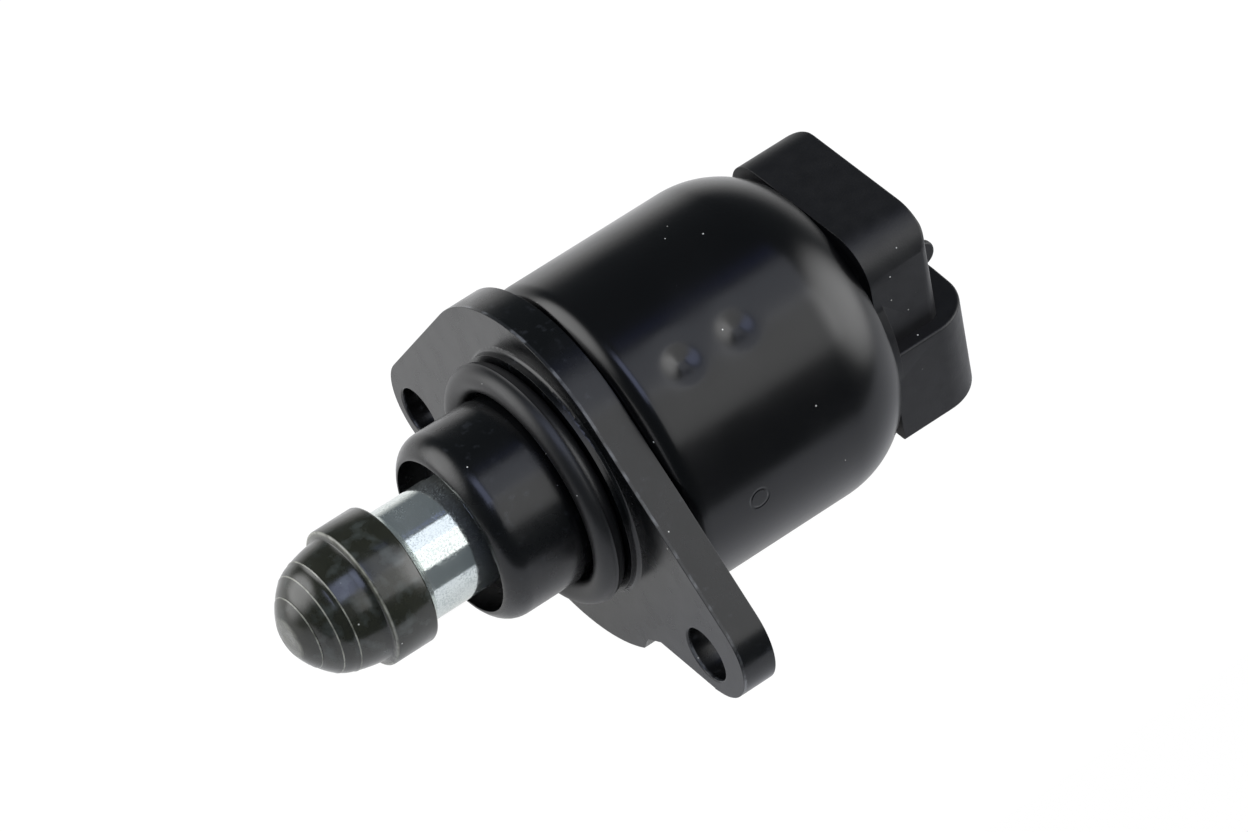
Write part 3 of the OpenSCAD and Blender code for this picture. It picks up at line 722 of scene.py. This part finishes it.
finish_mesh("plug", plug_mesh, "pintle", "plug_plastic", plug_plastic(), "pintle_head")


# Connector: one moulding in matt black plastic. Its disc closes the can, its body rises behind
# it, and the skirt round the pins opens downwards. The pins are tinned brass.
CONNECTOR = "#0d0d0f"
CONNECTOR_PALE = "#131315"
TIN = "#c8c0a4"
TIN_PALE = "#d6d2c4"
block_x = can_x1 + 0.6
socket_x = 39.0
socket_reach = 6.0
socket_top_z = 7.0


def matt_plastic():
    """Black glass-filled plastic from a spark-eroded mould: matt, with an even fine grain."""
    made, tree, place = new_material("black_matt_moulding")
    tone = add(tree, "ShaderNodeTexNoise", {"Vector": place, "Scale": 1 / (2.5 * MM), "Detail": 5.0})
    colour = add(tree, "ShaderNodeMix", {0: tone, 6: CONNECTOR, 7: CONNECTOR_PALE}, out=2,
                 data_type="RGBA")
    specks = dust(tree, place, 2.0, 0.22)
    colour = add(tree, "ShaderNodeMix", {0: specks, 6: colour, 7: DUST}, out=2, data_type="RGBA")
    haze = add(tree, "ShaderNodeTexNoise", {"Vector": place, "Scale": 1 / (1.5 * MM), "Detail": 4.0})
    rough = add(tree, "ShaderNodeMapRange", {
        "Value": haze, "From Min": 0.3, "From Max": 0.7, "To Min": 0.4, "To Max": 0.5})
    # Real eroded grain is finer than a pixel, so it is drawn about 0.2 mm wide to show
    grain = add(tree, "ShaderNodeTexNoise", {"Vector": place, "Scale": 1 / (0.2 * MM), "Detail": 3.0})
    normal = add(tree, "ShaderNodeBump", {"Height": grain, "Distance": 0.012 * MM})
    shader = add(tree, "ShaderNodeBsdfPrincipled", {
        "Base Color": colour, "Roughness": rough, "IOR": 1.45, "Normal": normal})
    add(tree, "ShaderNodeOutputMaterial", {"Surface": shader})
    return made


def tinned_brass():
    """Stamped brass with a tin coat: pale yellow silver, satin."""
    made, tree, place = new_material("tinned_brass")
    tone = add(tree, "ShaderNodeTexNoise", {"Vector": place, "Scale": 1 / (1.0 * MM), "Detail": 3.0})
    colour = add(tree, "ShaderNodeMix", {0: tone, 6: TIN, 7: TIN_PALE}, out=2, data_type="RGBA")
    grain = add(tree, "ShaderNodeTexNoise", {"Vector": place, "Scale": 1 / (0.3 * MM)})
    normal = add(tree, "ShaderNodeBump", {"Height": grain, "Distance": 0.003 * MM})
    shader = add(tree, "ShaderNodeBsdfPrincipled", {
        "Base Color": colour, "Metallic": 1.0, "Roughness": 0.28, "Normal": normal})
    add(tree, "ShaderNodeOutputMaterial", {"Surface": shader})
    return made


def connector_edge(place):
    """Rounding of the connector's edges: soft on what shows, fine inside the can and the socket."""
    in_socket = place.z < socket_top_z and math.hypot(place.x - socket_x, place.y) < socket_reach
    if place.x > block_x + 1 and not in_socket:
        return 0.5
    return 0.06


connector = finish_mesh("connector_moulding",
                        rounded_copy("connector_moulding", "connector", connector_edge),
                        "housing", "black_connector", matt_plastic(), "connector")
connector.modifiers.new("even_light", "WEIGHTED_NORMAL").keep_sharp = True
dress(["terminals"], tinned_brass(), edge=0.12)


# Camera: it looks from above at the pintle's side, as the photograph does, with a long lens.
# Its place is in millimetres, its turn in degrees, and both come from a fit to the photo's circles.
CAMERA_PLACE = (-262.3, -489.9, 523.5)
CAMERA_TURN = (46.396, 8.538, -37.024)
CAMERA_LENS = 220.3
camera_data = bpy.data.cameras.new("camera")
camera_data.lens = CAMERA_LENS
camera_data.clip_start = 0.01
camera = bpy.data.objects.new("camera", camera_data)
camera.location = [v * MM for v in CAMERA_PLACE]
camera.rotation_euler = [math.radians(v) for v in CAMERA_TURN]
bpy.context.scene.collection.objects.link(camera)
bpy.context.scene.camera = camera


# Studio: a white paper sheet under the valve, three soft boxes and a small window over it, a lit
# umbrella on each side, and a dim room with a white backdrop behind. Its measures are in metres.
DEEP_ROOM = "#50565a"
BACKDROP = "#e8e8e8"
WHITE = "#ffffff"
PAPER = (0.9, 0.9, 0.9, 1)
LAMP_DISTANCE = 0.6
SHEET_LOW = (-0.6, -0.052)
SHEET_HIGH = (0.7, 0.7)
SHEET_GAP = 0.0002
# Painted shade: the paper's glow, as the valve's gloss sees it, is darker towards the sheet's near edge
# and full at this Y
SHEET_FULL_Y = 0.03


def soft_box(name, way, width, length, radiance, colour=WHITE):
    """An area light that faces the valve; width lies across the valve axis."""
    light = bpy.data.lights.new(name, "AREA")
    light.shape = "RECTANGLE"
    light.size = width
    light.size_y = length
    light.energy = radiance * math.pi * width * length
    light.color = linear(colour)[:3]
    box = bpy.data.objects.new(name, light)
    out = Vector(way).normalized()
    box.location = out * LAMP_DISTANCE
    side = out.cross(Vector((1, 0, 0))).normalized()
    along = out.cross(side)
    box.rotation_euler = Matrix((side, along, out)).transposed().to_euler()
    bpy.context.scene.collection.objects.link(box)


soft_box("soft_box_top", (0.36, -0.33, 0.88), 0.3, 0.36, 1.25, "#eef2ff")
soft_box("soft_box_high", (-0.2, -0.34, 0.92), 0.36, 0.25, 2.6, "#ccd6ff")
soft_box("soft_box_near", (0.3, -0.75, 0.57), 0.39, 0.6, 1.35)
soft_box("window", (0.42, 0.03, 0.9), 0.08, 0.14, 0.35, "#7f8fff")

world = bpy.data.worlds.new("studio")
bpy.context.scene.world = world
world.use_nodes = True
sky = world.node_tree
sky.nodes.clear()
direction = add(sky, "ShaderNodeTexCoord", out="Generated")
rise = add(sky, "ShaderNodeSeparateXYZ", {"Vector": direction}, out="Z")
away = add(sky, "ShaderNodeSeparateXYZ", {"Vector": direction}, out="Y")
low = add(sky, "ShaderNodeMapRange", {
    "Value": rise, "From Min": 0.0, "From Max": 0.28, "To Min": 1, "To Max": 0})
back = add(sky, "ShaderNodeMapRange", {"Value": away, "From Min": 0.1, "From Max": 0.5})
glow = add(sky, "ShaderNodeMath", {0: low, 1: back}, operation="MULTIPLY")
walls = add(sky, "ShaderNodeMix", {0: glow, 6: DEEP_ROOM, 7: BACKDROP}, out=2, data_type="RGBA")
room = add(sky, "ShaderNodeBackground", {"Color": walls, "Strength": 1.0})


def umbrella(way, core, rim, radiance):
    """A lit umbrella: full radiance within core degrees of its middle, fading out at rim degrees."""
    near = add(sky, "ShaderNodeVectorMath", {0: direction, 1: Vector(way).normalized()},
               out="Value", operation="DOT_PRODUCT")
    return add(sky, "ShaderNodeMapRange", {
        "Value": near, "From Min": math.cos(math.radians(rim)), "From Max": math.cos(math.radians(core)),
        "To Min": 0.0, "To Max": radiance}, interpolation_type="SMOOTHSTEP")


umbrellas = add(sky, "ShaderNodeMath", {
    0: umbrella((0.87, -0.4, 0.27), 5, 36, 4.6),
    1: umbrella((-0.64, 0.6, 0.44), 10, 36, 4.2)})
lamps = add(sky, "ShaderNodeBackground", {"Strength": umbrellas})
dim = add(sky, "ShaderNodeAddShader", {0: room, 1: lamps})
white = add(sky, "ShaderNodeBackground", {"Color": WHITE, "Strength": 1.0})
to_camera = add(sky, "ShaderNodeLightPath", out="Is Camera Ray")
shown = add(sky, "ShaderNodeMixShader", {0: to_camera, 1: dim, 2: white})
add(sky, "ShaderNodeOutputWorld", {"Surface": shown})


def white_paper():
    """Thick white paper: matt to the lamps; the camera sees it glow evenly, and the valve's gloss sees a
    glow with painted shade towards the near edge.
    """
    made, tree, place = new_material("white_paper")
    mirrored = add(tree, "ShaderNodeMath", {
        0: add(tree, "ShaderNodeLightPath", out="Is Glossy Ray"),
        1: add(tree, "ShaderNodeLightPath", out="Is Transmission Ray")})
    # Painted shade: the glow seen in reflections fades towards the sheet's near edge
    far_side = add(tree, "ShaderNodeSeparateXYZ", {"Vector": place}, out="Y")
    share = add(tree, "ShaderNodeMapRange", {
        "Value": far_side, "From Min": SHEET_LOW[1], "From Max": SHEET_FULL_Y,
        "To Min": 0.0, "To Max": 0.78})
    mirrored = add(tree, "ShaderNodeMath", {0: mirrored, 1: share}, operation="MULTIPLY")
    to_camera = add(tree, "ShaderNodeLightPath", out="Is Camera Ray")
    seen = add(tree, "ShaderNodeMath", {0: to_camera, 1: 0.92, 2: mirrored}, operation="MULTIPLY_ADD")
    matt = add(tree, "ShaderNodeBsdfDiffuse", {"Color": PAPER})
    lit = add(tree, "ShaderNodeEmission", {"Color": WHITE, "Strength": 1.07})
    surface = add(tree, "ShaderNodeMixShader", {0: seen, 1: matt, 2: lit})
    add(tree, "ShaderNodeOutputMaterial", {"Surface": surface})
    return made


sheet_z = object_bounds()[0][2] - SHEET_GAP
sheet_corners = [SHEET_LOW, (SHEET_HIGH[0], SHEET_LOW[1]), SHEET_HIGH, (SHEET_LOW[0], SHEET_HIGH[1])]
sheet_mesh = bpy.data.meshes.new("paper_sheet")
sheet_mesh.from_pydata([(x, y, sheet_z) for x, y in sheet_corners], [], [(0, 1, 2, 3)])
sheet = bpy.data.objects.new("paper_sheet", sheet_mesh)
bpy.context.scene.collection.objects.link(sheet)
sheet.data.materials.append(white_paper())

bpy.context.scene.view_settings.view_transform = "Standard"
